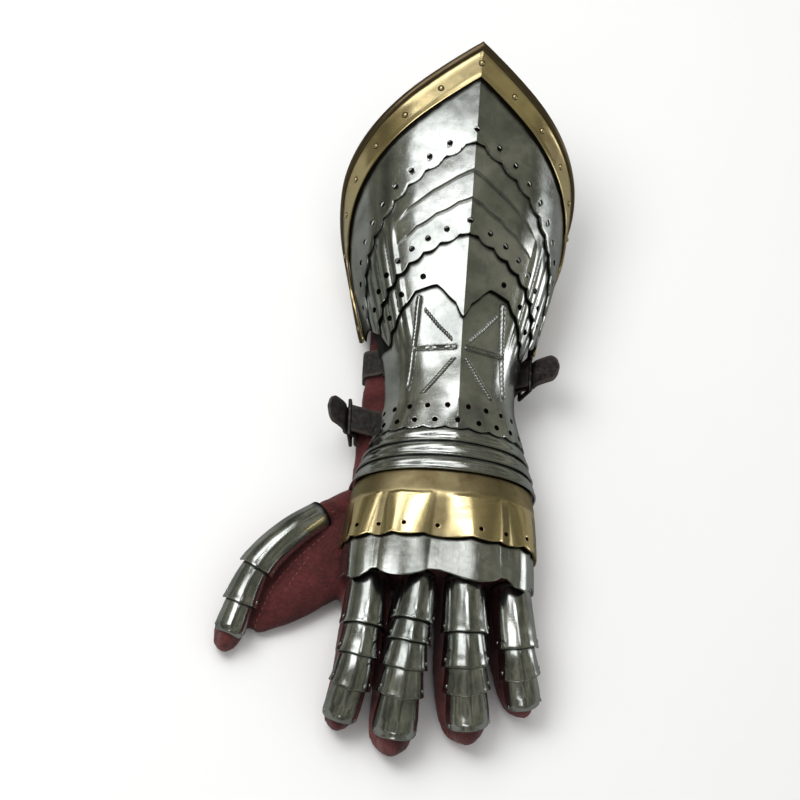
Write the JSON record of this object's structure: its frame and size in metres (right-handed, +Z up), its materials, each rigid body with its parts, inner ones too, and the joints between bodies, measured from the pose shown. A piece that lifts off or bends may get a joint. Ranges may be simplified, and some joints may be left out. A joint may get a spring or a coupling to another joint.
{
  "type": "armoured gauntlet",
  "caption": "Left-hand plate gauntlet: pointed scalloped steel cuff with brass border, sliding wrist lames, brass knuckle band and finger plates on a red leather glove.",
  "frame": {"origin": "on the ground under the middle of the gauntlet's box", "axes": "+Z up, +Y from the fingers to the point of the cuff, +X to the little finger's side"},
  "size_m": [0.1918, 0.3974, 0.1102],
  "materials": {
    "steel": "polished bright steel",
    "brass": "polished brass, slightly tarnished",
    "leather": "dark red suede",
    "strap": "black bridle leather",
    "black_iron": "blackened iron"
  },
  "bodies": {
    "root": {"cuff_border": "brass", "rim_lame": "steel", "second_lame": "steel", "third_lame": "steel", "wrist_plate": "steel", "wrist_lame_1": "steel", "wrist_lame_2": "steel", "wrist_lame_3": "steel", "knuckle_band": "brass", "knuckle_lame": "steel", "index_lame_1": "steel", "index_lame_2": "steel", "index_lame_3": "steel", "index_lame_4": "steel", "middle_lame_1": "steel", "middle_lame_2": "steel", "middle_lame_3": "steel", "middle_lame_4": "steel", "middle_lame_5": "steel", "ring_lame_1": "steel", "ring_lame_2": "steel", "ring_lame_3": "steel", "ring_lame_4": "steel", "pinky_lame_1": "steel", "pinky_lame_2": "steel", "pinky_lame_3": "steel", "thumb_lame_1": "steel", "thumb_lame_2": "steel", "thumb_lame_3": "steel", "glove_thumb": "leather", "glove_index": "leather", "glove_middle": "leather", "glove_ring": "leather", "glove_pinky": "leather", "glove": "leather", "wrist_strap": "strap", "wrist_chape": "strap", "wrist_buckle": "black_iron", "wrist_tongue": "black_iron", "cuff_strap": "strap", "cuff_chape": "strap", "cuff_buckle": "black_iron", "cuff_tongue": "black_iron"}
  },
  "joints": []
}
